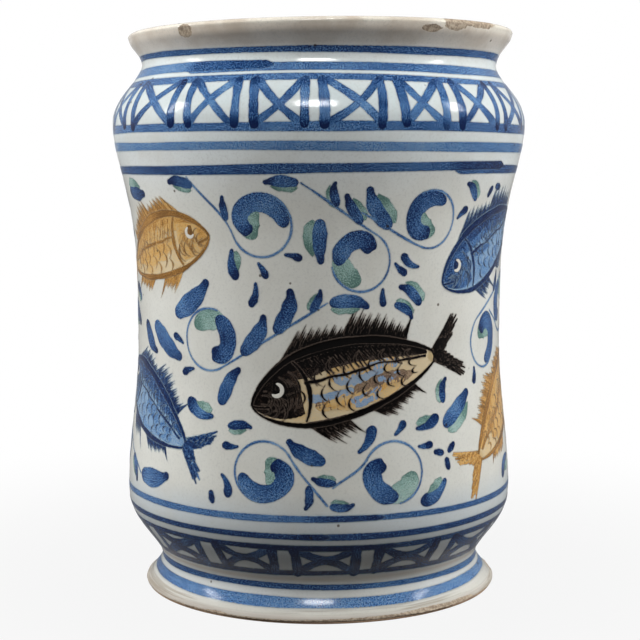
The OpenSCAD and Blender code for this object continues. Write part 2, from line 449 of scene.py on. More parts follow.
up_z = np.concatenate([[side_z[0], side_z[0] + 0.25],
                       np.linspace(side_z[0] + 0.6, FOOT_END, 58)[:-1],
                       np.linspace(FOOT_END, SHOULDER_START, 56)[:-1],
                       np.linspace(SHOULDER_START, lip_z, 76)])
down_z = np.concatenate([np.linspace(lip_z, SHOULDER_START, 24)[1:],
                         np.linspace(SHOULDER_START, FOOT_END, 12)[1:],
                         np.linspace(FOOT_END, side_z[0] + 0.2, 22)[1:]])
crown = lip_arc(0, 0, 90, 9)[:, 1:]
skin_r, skin_z = profile((jar_radius(up_z), up_z), crown, lip_arc(SKIN, 0, 90, 5)[:, ::-1],
                         (jar_radius(down_z) - SKIN, down_z))
skin_r[0] -= 0.25
angles = turn_angles(AROUND)
bare = bare_field(angles[None, :], skin_z[:, None])
bare[len(up_z) + crown.shape[1]:] = -1
skin = on_jar(angles[None, :], skin_z[:, None], -DENT * ease(bare, -0.1, 0.5), skin_r[:, None])
make_piece("glaze_outside", skin.reshape(-1, 3), [ring_faces(len(skin_z), AROUND, True)],
           white_outside, "white_glaze", ["outer_glaze"], {"bare": bare.ravel()})

# %% [markdown]
# ## The glazed inside
# The lining follows the wall from the crown down and rounds into the floor. The thrower's fingers left
# shallow rings there, which nobody smoothed away. The floor closes in one shared point on the axis.

# %% Inner skin
lining = node_points("inner_glaze")
lining_reach = np.hypot(lining[:, 0], lining[:, 1])
floor_z = lining[lining_reach < 1.0][:, 2].max()
at_waist = np.abs(lining[:, 2] - WAIST_Z) < 0.2
wall_t = jar_radius(np.array(WAIST_Z)) - lining_reach[at_waist].min()
BOWL_TOP = 43.4
BOWL_POWER = 3
LINING_T = 0.7
FALL = 20


def inner_radius(height):
    """The outer radius less the wall above the bowl's top. Below it, a superellipse from the wall to the
    floor: (r / R)^3 + (drop / depth)^3 = 1."""
    drop = np.clip((BOWL_TOP - height) / (BOWL_TOP - floor_z), 0, 1)
    bowl = (jar_radius(np.array(BOWL_TOP)) - wall_t) * (1 - drop ** BOWL_POWER) ** (1 / BOWL_POWER)
    return np.where(height >= BOWL_TOP, jar_radius(height) - wall_t, bowl)


def inside_heights(wall_rows, bowl_rows):
    """Heights down the inside: even from the lip to the bowl's top, then closer together near the floor."""
    bowl = BOWL_TOP - (BOWL_TOP - floor_z) * np.sin(np.linspace(0, np.pi / 2, bowl_rows))[1:-1]
    return np.concatenate([np.linspace(lip_z, BOWL_TOP, wall_rows), bowl])


def lowered(heights, drop):
    """Heights of a layer under the lining: in the bowl they sink by drop, so that the floors stay apart."""
    return heights - drop * ease(BOWL_TOP - heights, 0, FALL)


def turned_solid(radii, heights, around):
    """Points and faces of a profile turned about the axis, with a fan to one point on the axis at its start
    and another at its end."""
    turn = turn_angles(around)
    points = on_jar(turn[None, :], heights[:, None], 0.0, radii[:, None]).reshape(-1, 3)
    here, on = np.arange(around), (np.arange(around) + 1) % around
    last = (len(radii) - 1) * around
    start_fan = np.stack([on, here, np.full(around, len(points))], -1)
    end_fan = np.stack([last + here, last + on, np.full(around, len(points) + 1)], -1)
    points = np.vstack([points, [[0, 0, heights[0] * MM], [0, 0, heights[-1] * MM]]])
    return points, [ring_faces(len(radii), around, False), start_fan, end_fan]


down = inside_heights(120, 40)
back_up = inside_heights(60, 20)[::-1]
floor_rings = np.linspace(inner_radius(down[-1:])[0], 1.5, 24)[1:]
lining_r, lining_z = profile(([2.0, 40.0], [floor_z - LINING_T] * 2),
                             (inner_radius(back_up) + SKIN, lowered(back_up, LINING_T)),
                             lip_arc(SKIN, 180, 90, 5)[:, 1:], lip_arc(0, 90, 180, 8)[:, :-1],
                             (inner_radius(down) + 0.35 * np.sin(down * 0.62), down),
                             (floor_rings, floor_z + 0.25 * np.sin(floor_rings * 0.7)))
lining_points, lining_faces = turned_solid(lining_r, lining_z, 240)
make_piece("glaze_inside", lining_points, lining_faces, white_inside, "white_glaze", ["inner_glaze"],
           {"bare": np.full(len(lining_points), -1.0)})

# %% [markdown]
# ## The clay body
# Under the glaze is one piece of fired buff clay. It shows only on the foot's lower edge and in the recess
# turned under the floor, which keeps the rings left by the turning tool. The chips show its colour too, but
# through the glaze's own finish, so the skin needs no holes.

# %% Clay finish
def clay_finish():
    """Buff earthenware: pale and darker patches, sandy grain, and dirt in the low places."""
    clay = Finish("buff_clay")
    patch = clay.noise(clay.place, 45.0, 5.0, 0.6)
    grain = clay.noise(clay.place, 1400.0, 3.0, 0.7)
    colour = clay.mix(clay.step(patch, 0.3, 0.7), (0.50, 0.33, 0.21, 1), (0.36, 0.225, 0.14, 1))
    colour = clay.mix(clay.step(grain, 0.5, 0.75, 0.0, 0.5), colour, (0.20, 0.12, 0.075, 1))
    clay.set(Base_Color=colour, Roughness=clay.step(grain, 0.3, 0.7, 0.75, 0.92),
             Normal=clay.bump(grain, 0.4, 0.0003))
    return clay.material


buff_clay = clay_finish()
print("clay finish:", buff_clay.name)

# %% Clay body
UNDER_SKIN = SKIN + 0.05
clay_points = node_points("clay_body")
clay_reach = np.hypot(clay_points[:, 0], clay_points[:, 1])
sole = clay_reach[np.abs(clay_points[:, 2]) < 0.05]
sole_in, sole_out = sole.min(), sole.max()
recess_h = clay_points[clay_reach < sole_in - 1.0][:, 2].min()
at_recess = (np.abs(clay_points[:, 2] - recess_h) < 0.05) & (clay_reach < sole_in)
recess_r = clay_reach[at_recess].max()
tool_rings = np.linspace(2, recess_r - 1, 70)
sole_r = np.linspace(sole_in + 0.6, sole_out - 0.8, 8)
wall_up = np.linspace(side_z[0], lip_z, 80)
in_down = inside_heights(60, 20)
clay_r, clay_z = profile((tool_rings, recess_h + 0.22 * np.sin(tool_rings * 2.1)),
                         ([recess_r], [recess_h - 0.1]),
                         (np.linspace(recess_r + 0.6, sole_in, 4), np.linspace(recess_h - 0.9, 0.35, 4)),
                         (sole_r, 0.12 + 0.12 * np.cos(np.linspace(0, 6, len(sole_r)))),
                         ([sole_out - 0.1, sole_out], [0.25, 0.6]),
                         (jar_radius(wall_up) - UNDER_SKIN, wall_up),
                         lip_arc(UNDER_SKIN, 0, 180, 9)[:, 1:-1],
                         (inner_radius(in_down) + SKIN + 0.4, lowered(in_down, 0.9)),
                         ([55.0, 20.0, 2.0], [floor_z - 1.2] * 3))
make_piece("jar_clay", *turned_solid(clay_r, clay_z, 192), buff_clay, "clay", ["clay_body"])
print("recess under the floor:", round(recess_h, 2), "mm deep,", round(recess_r, 2), "mm in radius")

# %% [markdown]
# ## Oxide paint
# A stroke of oxide sinks into the raw glaze. Its edge is ragged, its ends and rim are darker where the brush
# let the colour pool, streaks run along it, and fine pale grains show through. A faint halo of colour bleeds
# past the edge in the fire. The strokes are thin meshes, and each point knows how far it is from the edge,
# how much colour the brush left there, and its place along and across the stroke. The finish reads those.

# %% Paint finish
HALO = 0.7
PAINTED_PINHOLE = (0.02, 0.015, 0.012, 1)


def paint_finish(name, stops, halo, grainy, cover, gloss=0.3):
    """Oxide paint. stops is the colour from a thin wash at 0 to the thickest paint at 1, halo the tint that
    bleeds out, grainy how strongly the pale grains show, cover how solid the thinnest wash is, and gloss how
    strongly it mirrors the lamps."""
    paint = Finish(name)
    brush = paint.add("UVMap", uv_map="brush").outputs["UV"]
    inset = paint.attribute("inset")
    streaks = paint.noise(paint.stretched(brush, (0.07, 1.5, 1)), 1.0, 3.0, 0.6)
    grain = paint.noise(brush, 1.8, 2.0, 0.7)
    speck = paint.noise(brush, 3.1, 1.0)
    cloud = paint.noise(brush, 0.16)
    edge = paint.sway(inset, paint.noise(brush, 0.8, 3.0, 0.6), 0.7)
    solid = paint.step(edge, HALO - 0.2, HALO + 0.2)
    rim = paint.maths("SUBTRACT", 1.0, paint.step(edge, HALO, HALO + 0.8))
    amount = paint.attribute("load")
    for pattern, weight in ((streaks, 0.5), (grain, 0.95 * grainy), (speck, grainy), (cloud, 0.35)):
        amount = paint.sway(amount, pattern, weight)
    amount = paint.maths("ADD", amount, paint.times(rim, 0.12))
    body = paint.step(amount, 0.0, 0.45, cover, 0.995)
    bleed = paint.step(inset, 0.0, HALO + 0.2, 0.0, 0.36)
    colour = paint.mix(solid, halo, paint.ramp(amount, stops))
    colour = paint.mix(paint.times(paint.pits(), 0.85), colour, PAINTED_PINHOLE)
    paint.set(Base_Color=colour, Alpha=paint.maths("MAXIMUM", paint.times(solid, body), bleed),
              Roughness=0.16, Specular_IOR_Level=gloss,
              Normal=paint.bump(paint.waves(), WAVE_STRENGTH, WAVE_DEPTH))
    return paint.material


cobalt = paint_finish("cobalt_blue", [(0.0, (0.32, 0.47, 0.65)), (0.3, (0.11, 0.265, 0.495)),
                                      (0.66, (0.031, 0.096, 0.275)), (1.0, (0.003, 0.011, 0.055))],
                      (0.32, 0.46, 0.57, 1), 2.6, 0.6)
manganese = paint_finish("manganese_brown", [(0.0, (0.40, 0.28, 0.19)), (0.35, (0.11, 0.068, 0.045)),
                                             (0.65, (0.011, 0.0075, 0.007)), (1.0, (0.0025, 0.002, 0.002))],
                         (0.20, 0.15, 0.12, 1), 1.5, 0.55, 0.14)
ochre = paint_finish("ochre_yellow", [(0.0, (0.80, 0.62, 0.34)), (0.35, (0.62, 0.37, 0.11)),
                                      (0.65, (0.38, 0.185, 0.045)), (1.0, (0.14, 0.065, 0.016))],
                     (0.50, 0.38, 0.22, 1), 1.2, 0.5)
copper = paint_finish("copper_green", [(0.0, (0.58, 0.69, 0.65)), (0.4, (0.32, 0.48, 0.44)),
                                       (0.7, (0.17, 0.285, 0.25)), (1.0, (0.07, 0.145, 0.125))],
                      (0.36, 0.48, 0.47, 1), 2.1, 0.5)
print("paints:", cobalt.name, manganese.name, ochre.name, copper.name)

# %% [markdown]
# ## One brush stroke
# A stroke is a profile carried along a path: the path is drawn flat in millimetres, along the girth and up
# the height, and wrapped on the jar. The profile is a low mound whose two lower corners sink into the glaze,
# so each stroke is a closed thin body that shows no gap from the side.

# %% Pulling a stroke
chance = np.random.default_rng(1640)
SUNK = 0.1
BED = 0.03
TIP = 0.05
FIELD_REACH = 82.0


def pull(path, half, load, lift, reach=FIELD_REACH, across=7, lean=0.0):
    """A stroke along a flat path (girth, height). At each step the profile runs from -1 to 1 across, half a
    width to each side plus the halo, and stands lift * (1 - v^6) proud of the glaze. The path goes on past
    both ends by the width of the halo. The angle on the jar is the girth divided by reach. A brush that leans
    leaves more colour on one side."""
    path = np.asarray(path, float)
    n = len(path)
    before, after = path[0] - path[1], path[-1] - path[-2]
    half = np.concatenate([[TIP], np.broadcast_to(half, n) + HALO, [TIP]])
    load = np.pad(np.broadcast_to(load, n), 1, mode="edge")
    lift = np.pad(np.broadcast_to(lift, n), 1, mode="edge")
    path = np.vstack([path[0] + HALO * before / np.hypot(*before), path,
                      path[-1] + HALO * after / np.hypot(*after)])
    along = np.concatenate([[0], np.cumsum(np.hypot(*np.diff(path, axis=0).T))])
    heading = np.gradient(path, axis=0)
    heading /= np.maximum(np.hypot(heading[:, 0], heading[:, 1]), 1e-9)[:, None]
    side = np.stack([-heading[:, 1], heading[:, 0]], -1)
    top = np.sin(np.linspace(-np.pi / 2, np.pi / 2, across))
    v = np.concatenate([top, np.linspace(1, -1, 2 + across // 6)])
    flat = path[:, None, :] + side[:, None, :] * (half[:, None] * v)[:, :, None]
    proud = (BED + lift[:, None]) * (1 - v ** 6)
    proud[:, across:] = -SUNK
    points = on_jar(flat[:, :, 0] / reach, flat[:, :, 1], proud)
    inset = half[:, None] * (1 - np.abs(v))
    inset[:, across:] = 0
    start = chance.uniform(0, 400, 2)
    uv = np.stack([along[:, None] + start[0] + 0 * v, half[:, None] * v + start[1]], -1)
    ring = len(v)
    i, j = np.meshgrid(np.arange(n + 1) * ring, np.arange(ring), indexing="ij")
    on = (j + 1) % ring
    quads = np.stack([i + j, i + ring + j, i + ring + on, i + on], -1).reshape(-1, 4)
    caps = np.stack([np.arange(ring), (n + 1) * ring + np.arange(ring)[::-1]])
    return {"points": points.reshape(-1, 3), "uv": uv.reshape(-1, 2), "inset": inset.ravel(),
            "load": (load[:, None] + lean * v).ravel(), "quads": quads, "caps": caps}


def lay(name, strokes, finish, slot, stands_for=()):
    """All strokes of one piece in one mesh: their arrays end to end, with the face numbers moved on."""
    first = np.cumsum([0] + [len(s["points"]) for s in strokes])[:-1]
    faces = [np.concatenate([s["quads"] + f for s, f in zip(strokes, first)])]
    for size in sorted({s["caps"].shape[1] for s in strokes}):
        faces.append(np.concatenate([s["caps"] + f for s, f in zip(strokes, first)
                                     if s["caps"].shape[1] == size]))
    joined = {k: np.concatenate([s[k] for s in strokes]) for k in ("points", "uv", "inset", "load")}
    make_piece(name, joined["points"], faces, finish, slot, stands_for,
               {"inset": joined["inset"], "load": joined["load"]}, joined["uv"])


def drift(t, size, waves=(1, 2, 3, 5)):
    """The slow wander of a hand: sines of t with random phases, each slower one larger."""
    phases = chance.uniform(0, 2 * np.pi, len(waves))
    return size * sum(np.sin(2 * np.pi * w * t + p) / (1 + 0.5 * w) for w, p in zip(waves, phases))


print("brush ready, field reach", FIELD_REACH, "mm")

# %% [markdown]
# ## Lines around the jar
# The painter held a loaded brush still while the jar turned. Each line therefore runs a little more than once
# around, and the last part lies over the first, darker. Heights and widths come from the CAD lines.

# %% Line strokes
LINE_STEPS = 720


def line_pair(name):
    """The two lines of a CAD node, each as its lower and upper height: its first two and last two levels."""
    heights = levels_of(name)[0]
    return heights[:2], heights[-2:]


def ring_line(edges, load, start_deg, overlap_deg, rise=0.0):
    """A line once around and a bit more. Its middle and its width drift and its colour comes and goes. The
    end climbs by rise, lies on the start and is darker, because two coats of colour lie there."""
    t = np.linspace(0, 1 + overlap_deg / 360, LINE_STEPS)
    middle = np.mean(edges)
    reach = jar_radius(np.array(middle))
    turn = np.radians(start_deg) + 2 * np.pi * t
    height = middle + drift(t, 0.34) + rise * (ease(t, 0.75, 1.05) - 0.3)
    half = (edges[1] - edges[0]) / 2 * (0.98 + drift(t, 0.17, (2, 5, 9, 14)))
    blunt = np.minimum(ease(t, -0.001, 0.006), ease(t[-1] - t, -0.001, 0.006))
    colour = load + drift(t, 0.14, (1, 3, 7, 13)) + 0.3 * ease(t, 0.99, 1.01)
    path = np.stack([turn * reach, height], -1)
    return pull(path, half * (0.3 + 0.7 * blunt), colour, 0.03 + 0.02 * t / t[-1], reach, 9)


# Each line as its load of colour, the angle where it starts, its overlap and its rise, lower line first
BRUSHES = {"neck_lines": [(0.53, -41, 28, 0.9), (0.84, 152, 14)],
           "shoulder_lines": [(0.89, 39, 22, 1.7), (0.44, -150, 12)],
           "base_lines": [(1.04, -6, 9), (0.66, -2, 20)],
           "foot_lines": [(0.52, 120, 16), (0.76, -95, 10)],
           "shoulder_net": [(0.63, 168, 10), (0.72, -120, 14)],
           "base_net": [(1.1, 200, 25), (1.08, -22, 45)]}


def line_strokes(node):
    return [ring_line(edges, *brush) for edges, brush in zip(line_pair(node), BRUSHES[node])]


lay("neck_strokes", line_strokes("neck_lines"), cobalt, "cobalt", ["neck_lines"])
lay("shoulder_strokes", line_strokes("shoulder_lines"), cobalt, "cobalt", ["shoulder_lines"])
lay("base_strokes", line_strokes("base_lines"), cobalt, "cobalt", ["base_lines"])
lay("foot_strokes", line_strokes("foot_lines"), cobalt, "cobalt", ["foot_lines"])

# %% [markdown]
# ## Nets of crosses
# Between two lines on the shoulder and on the base, the painter set pairs of upright bars with a cross
# between each two pairs. The brush was pressed down where a bar ends, so a near-black drop sits there. The
# spacing was judged by eye, and it shows: the pairs on the front keep the uneven angles of the real jar, and
# the rest share out what is left.

# %% Bars
BAR_STEPS = 30


def eased_steps(count):
    """Steps from 0 to 1, close together at both ends, where a stroke turns round."""
    return 0.5 - 0.5 * np.cos(np.pi * np.linspace(0, 1, count))


def round_ended(t, length, half):
    """Half width of a stroke whose ends are half circles: sqrt(half^2 - (half - d)^2) at d from an end."""
    near = np.clip(1 - np.minimum(t, 1 - t) * length / np.maximum(half, 1e-6), 0, 1)
    return half * np.sqrt(np.clip(1 - near ** 2, 0, 1))


def bar(start, end, half, load, bow, drop, lift, reach):
    """A straight pull from start to end that bows sideways, with a drop of thick colour at its end."""
    t = eased_steps(BAR_STEPS)
    start, end = np.asarray(start, float), np.asarray(end, float)
    length = np.hypot(*(end - start))
    across = np.array([end[1] - start[1], start[0] - end[0]]) / length
    path = start + (end - start) * t[:, None] + across * (bow * np.sin(np.pi * t))[:, None]
    bead = 0.5 * np.exp(-((t - 1) * length / 4.0) ** 2) + 0.8 * np.exp(-((t - 1) * length / 2.2) ** 2)
    width = half * (0.96 - 0.12 * np.sin(np.pi * t) + drift(t, 0.08, (1, 2, 4)))
    colour = load - 0.08 + drift(t, 0.14, (1, 2, 4)) + drop * bead + 0.3 * np.exp(-(t * length / 3) ** 2)
    return pull(path, round_ended(t, length, width), colour, lift, reach)


def all_round(front, count):
    """Angles of all pairs in radians: those of the front, and the others shared out over the back."""
    back = np.linspace(front[-1], front[0] + 360, count - len(front) + 2)[1:-1]
    jitter = chance.uniform(-1.2, 1.2, len(back))
    return np.radians(np.concatenate([front, back + jitter]))


print("bars of", BAR_STEPS, "steps")

# %% Net strokes
BAR_LIFT, CROSS_LIFT = 0.055, 0.04
LINE_BITE = 2.0
# Angles of the pairs on the front, in degrees
SHOULDER_PAIRS = [-60.2, -37.5, -19.2, -1.1, 19.1, 36.7, 56.0]
BASE_PAIRS = [-60.5, -34.0, -10.1, 14.3, 39.8, 67.5]


def net_strokes(node, front, count, half, load, drop, gap, arched=0.0):
    """Two bars at each pair and a cross to the next pair, from the middle of the upper line down into the
    lower one. An arched cross is two arcs back to back, each of that height."""
    lower, upper = line_pair(node)
    top, foot = upper[0] + LINE_BITE, lower[1] - LINE_BITE
    reach = jar_radius(np.array((top + foot) / 2))
    pairs = np.concatenate([all_round(front, count), [np.radians(front[0] + 360)]]) * reach
    strokes = []
    for here, on in zip(pairs[:-1], pairs[1:]):
        for side in (-1, 1):
            g = here + side * (gap / 2 + chance.normal(0, 0.25))
            slip = chance.normal(0, 0.5, 2) + side * np.array([-0.3, 0.3])
            ink = load + chance.normal(0, 0.06)
            strokes.append(bar((g + slip[0], top), (g + slip[1], foot - chance.uniform(0, 0.9)),
                               half * chance.uniform(0.88, 1.08), ink, chance.normal(0, 0.4),
                               drop * chance.uniform(0.6, 1.15), BAR_LIFT, reach))
        left, right = here + gap / 2 + 0.6, on - gap / 2 - 0.6
        high, low = (top - 1.2, foot + 1.2) if arched else (top - 0.9, foot + 0.9)
        cross = [((left, high), (right, low), 0.0), ((right, high), (left, low), 0.0)]
        arcs = [((left, high), (right, high), arched), ((left, low), (right, low), -arched)]
        for start, end, arch in arcs if arched else cross:
            width = half * chance.uniform(0.72, 0.9)
            ink = load - 0.05 + chance.normal(0, 0.06)
            strokes.append(bar(start, end, width, ink, arch + chance.normal(0, 0.8),
                               drop * chance.uniform(0, 0.5), CROSS_LIFT, reach))
    return strokes


upper_net = line_strokes("shoulder_net")
upper_net += net_strokes("shoulder_net", SHOULDER_PAIRS, 19, 2.25, 0.80, 0.9, 7.6)
lower_net = line_strokes("base_net")
lower_net += net_strokes("base_net", BASE_PAIRS, 14, 2.5, 1.08, 0.15, 9.2, 5.2)
lay("shoulder_net_strokes", upper_net, cobalt, "cobalt", ["shoulder_net"])
lay("base_net_strokes", lower_net, cobalt, "cobalt", ["base_net"])

# %% [markdown]
# ## A plan of the painted field
# The wide field between the lines holds swimming fish, with scrolls and comma leaves filling the gaps. A real
# painter sets the large figures first and fits the scrolls around them. This plan does the same: it keeps a
# list of round spots that are already taken, and a new stroke is kept only if it stays clear of them.

# %% Field plan
FIELD_LOW = line_pair("base_lines")[1][1] + 0.8
FIELD_HIGH = line_pair("shoulder_lines")[0][0] - 0.5
GIRTH = 2 * np.pi * FIELD_REACH
taken = [np.zeros((0, 3))]


def take(points, radius):
    """Marks round spots of that radius as painted."""
    points = np.asarray(points, float)
    taken.append(np.column_stack([points, np.broadcast_to(radius, len(points))]))


def is_free(points, radius, gap=0.0):
    """True if spots of that radius at these points stay inside the field and clear of all that is taken."""
    points = np.asarray(points, float)
    if (points[:, 1] - radius <= FIELD_LOW).any() or (points[:, 1] + radius >= FIELD_HIGH).any():
        return False
    spots = np.concatenate(taken)
    round_the_jar = (points[:, None, 0] - spots[None, :, 0] + GIRTH / 2) % GIRTH - GIRTH / 2
    far = np.hypot(round_the_jar, points[:, None, 1] - spots[None, :, 1])
    return bool((far > spots[None, :, 2] + radius + gap).all())


def towards(angle):
    """The way that an angle points in the flat field, as cosine and sine."""
    return np.stack([np.cos(angle), np.sin(angle)], -1)


def winding(start, heading, length, turn, tighten=0.0, steps=30):
    """A curve whose heading is heading + turn t + tighten t^2 for t from 0 to 1: an arc, or a scroll that
    winds up where tighten isn't 0. The points are the sums of its small moves."""
    t = eased_steps(steps)
    angle = heading + turn * t + tighten * t * t
    moves = towards((angle[1:] + angle[:-1]) / 2) * (np.diff(t) * length)[:, None]
    return np.asarray(start, float) + np.vstack([[[0, 0]], np.cumsum(moves, 0)])


print("field from", FIELD_LOW, "to", FIELD_HIGH, "mm")

# %% [markdown]
# ## Fish
# Each fish is a plain almond body on a bent spine, with a forked tail, a long low fin along its back, small
# fins below, arcs for scales, an arc for the gill and a crescent for the eye. It is drawn in its own measure,
# from 0 at the nose to 1 at the root of the tail along the spine and from -1 to 1 across, so one set of
# strokes serves every size, heading and colour.

# %% Fish shape
LAYER = 0.0001
COAT = 0.014
PIGMENTS = ("cobalt", "manganese", "ochre", "white")


class Fish:
    """A fish in its own measure. at(t, v) is the flat place of a point: the spine is a gentle arc through the
    middle of the fish, and v runs from the belly at -1 to the back at 1 across the body's depth there. Each
    stroke lies a hair above the one before, and each coat well above the last, as the painter laid them."""

    def __init__(self, degrees, height, heading_deg, length, bend):
        self.centre = np.array([np.radians(degrees) * FIELD_REACH, height])
        self.heading = np.radians(heading_deg)
        self.length = length
        self.bend = bend
        self.up = 1.0 if np.cos(self.heading) >= 0 else -1.0
        self.count = 0
        self.level = 0.0
        self.strokes = {pigment: [] for pigment in PIGMENTS}

    def depth(self, t):
        """Half the body's depth: an almond t^0.62 (1 - t)^0.85 with a slim root for the tail."""
        almond = np.clip(t, 0, 1) ** 0.62 * np.clip(1 - t, 0, 1) ** 0.85 / 0.371
        return self.length * (0.172 * almond + 0.024 * np.clip(t * 4, 0, 1))

    def at(self, t, v):
        t, v = np.broadcast_arrays(np.asarray(t, float), np.asarray(v, float))
        ahead = towards(self.heading)
        over = self.up * np.array([-ahead[1], ahead[0]])
        along = (0.42 - t) * self.length
        offset = self.bend * self.length * (1 - ((t - 0.45) / 0.55) ** 2) + v * self.depth(t)
        return self.centre + along[..., None] * ahead + offset[..., None] * over

    def draw(self, pigment, path, half, load, across=5):
        self.count += 1
        self.strokes[pigment].append(pull(path, half, load, self.level + LAYER * self.count, across=across))

    def sweep(self, pigment, t, v, half, load, across=5):
        self.draw(pigment, self.at(t, v), half, load, across)

    def hair(self, pigment, root, v, lean, length, load, half):
        """A thin stroke from (root, v) outwards that leans towards the tail, curls back a little and thins to
        its tip. lean is 0 along the body and 1 straight out."""
        tail_way = self.heading + np.pi
        outward = self.heading + self.up * np.sign(v) * np.pi / 2
        turn = (outward - tail_way + np.pi) % (2 * np.pi) - np.pi
        path = winding(self.at(root, v), tail_way + turn * lean, length, -turn * 0.2, 0.0, 7)
        t = eased_steps(7)
        self.draw(pigment, path, half * (1 - t ** 1.5), load + 0.12 * (1 - t))


print("a fish is drawn with", ", ".join(PIGMENTS))

# %% Tail and fins
def fish_tail(fish, line):
    """A forked tail: two lobes of long hairs that overlap, from the tail's root."""
    root = fish.at(0.97, 0.0)
    back = fish.heading + np.pi
    s = eased_steps(10)
    for side in (-1, 1):
        for spread in np.linspace(0.05, 0.60, 16):
            length = fish.length * (0.12 + 0.15 * ease(spread, 0.1, 0.5)) * chance.uniform(0.84, 1.1)
            path = winding(root, back + side * spread, length, side * 0.3 * spread, 0.0, 10)
            ink = line[1] - 0.12 * s + 0.12 * chance.normal()
            fish.draw(line[0], path, 0.3 + 0.8 * np.sin(np.pi * s ** 0.6) ** 0.8, ink)


def fish_fin(fish, line, first, last, side, rise, lean, humps):
    """A fin along the back (side 1) or the belly (side -1): a row of hairs close together, in one or more
    humps that fall towards the tail, with every fourth hair the longest, so that the edge is toothed."""
    count = int((last - first) * fish.length / 0.85)
    for step, u in enumerate(np.linspace(0, 1, count)):
        hump = (0.5 + 0.5 * (1 - humps * u % 1)) * ease(u, -0.02, 0.08) ** 0.6
        length = rise * fish.length * hump * (1.08 - 0.1 * (step % 4)) * chance.uniform(0.9, 1.08)
        ink = line[1] + 0.12 * chance.normal()
        fish.hair(line[0], first + (last - first) * u, 0.9 * side, lean, length, ink, 0.98)


# Start, end, side, rise, lean and humps of the back fin and the two belly fins
FINS = [(0.18, 0.84, 1, 0.18, 0.72, 2), (0.26, 0.44, -1, 0.18, 0.66, 1), (0.58, 0.83, -1, 0.13, 0.6, 1)]
print(len(FINS), "fins and a tail")

# %% Body and head
def fish_flank(fish, wash, dabs):
    """A thin wash over the whole body and dabs of second colours along the flank."""
    t = eased_steps(44)
    whole = 0.01 + 0.98 * t
    fish.level += COAT
    fish.sweep(wash[0], whole, 0.0, fish.depth(whole) - 0.6, wash[1] + drift(t, 0.14), 25)
    fish.level += COAT
    s = eased_steps(18)
    for pigment, ink, count in dabs:
        for _ in range(count):
            start = chance.uniform(0.28, 0.66)
            span = start + (0.92 - start) * chance.uniform(0.35, 0.9) * s
            v = chance.uniform(-0.62, 0.36) + drift(s, 0.05, (1, 2))
            width = round_ended(s, 14, fish.depth(span) * chance.uniform(0.12, 0.3))
            fish.sweep(pigment, span, v, width, ink + 0.1 * chance.normal(), 7)


def fish_back(fish, back):
    """A dark back that fades down the flank, with teeth of fine strokes along its lower edge."""
    t = eased_steps(44)
    span = 0.05 + 0.91 * t
    for v, share, ink in ((0.5, 0.16, -0.24), (0.78, 0.26, 0.0)):
        load = back[1] + ink + drift(t, 0.14)
        fish.sweep(back[0], span, v + drift(t, 0.05, (2, 3, 5)), share * fish.depth(span), load, 9)
    s = np.linspace(0, 1, 7)
    for root in np.linspace(0.28, 0.86, 34):
        down = 0.75 + (chance.uniform(0.0, 0.42) - 0.75) * s
        ink = back[1] - 0.08 + 0.14 * chance.normal()
        fish.sweep(back[0], root + 0.05 * s, down, 0.62 * (1 - 0.75 * s), ink)


def fish_head(fish, back, line):
    """A shaded head: one broad dab, fine arcs that follow its curve, the gill's edge and the mouth."""
    t = eased_steps(44)
    head = 0.012 + 0.24 * t
    shade = back[1] - 0.1 - 0.22 * t + drift(t, 0.12)
    fish.sweep(back[0], head, 0.02, 0.86 * fish.depth(head) * (1 - 0.2 * t ** 3), shade, 13)
    fish.level += COAT
    s = np.linspace(-1, 1, 11)
    for behind in np.linspace(0.05, 0.235, 15):
        middle, reach = chance.uniform(-0.5, 0.2), chance.uniform(0.25, 0.5)
        ink = line[1] - 0.05 + 0.2 * chance.normal()
        fish.sweep(line[0], behind + 0.04 * (1 - s ** 2), middle + reach * s, 0.42 * (1.1 - np.abs(s)), ink)
    fish.sweep(line[0], 0.255 + 0.05 * (1 - s ** 2), 0.84 * s, 0.95 * (1.05 - 0.6 * np.abs(s)), line[1])
    fish.sweep(line[0], np.linspace(0.005, 0.09, 10), -0.32, 0.45, line[1] + 0.1)


def fish_lines(fish, line):
    """Rows of scale arcs behind the gill, open towards the tail, a line down the flank, and the outline."""
    s = np.linspace(-1, 1, 9)
    for column, t in enumerate(np.arange(0.38, 0.9, 0.07)):
        for v in np.arange(-0.68, 0.3, 0.44) + 0.22 * (column % 2):
            size = 0.23 * chance.uniform(0.8, 1.1)
            ink = line[1] - 0.05 + 0.15 * chance.normal()
            arc = t - 0.03 * (1 - s ** 2) + 0.006 * chance.normal()
            fish.sweep(line[0], arc, v + size * s, 0.5 * (1.05 - np.abs(s)), ink)
    t = eased_steps(44)
    fish.sweep(line[0], 0.29 + 0.66 * t, 0.16 + drift(t, 0.04), 0.5 + drift(t, 0.15), line[1] - 0.05)
    for side, weight in ((1.0, 1.7), (-1.0, 1.25)):
        width = weight * (0.35 + 0.6 * np.sin(np.pi * t)) * (1 + drift(t, 0.2, (3, 5, 8)))
        fish.sweep(line[0], t, side * 0.96, width, line[1] + 0.05 + drift(t, 0.1))


def fish_eye(fish, line):
    """A dark socket, a white crescent that is thickest in its middle, and a dark dot inside it."""
    middle = fish.at(0.14, 0.30)
    size = 0.046 * fish.length
    dots = np.linspace(-0.3, 0.3, 6)[:, None] * np.array([[1.0, 0.0]]) * size
    fish.draw(line[0], middle + dots, 0.9 * size, line[1] + 0.15, 9)
    fish.level += COAT
    s = np.linspace(-1, 1, 25)
    crescent = middle + 0.66 * size * towards(fish.heading + np.pi + fish.up * 0.6 + 2.0 * s)
    fish.draw("white", crescent, 0.26 * size * (1 - s ** 2) ** 0.5, 0.5)
    fish.draw(line[0], middle + 0.12 * size + dots * 0.3, 0.30 * size, 1.3, 7)


print("fish strokes ready")

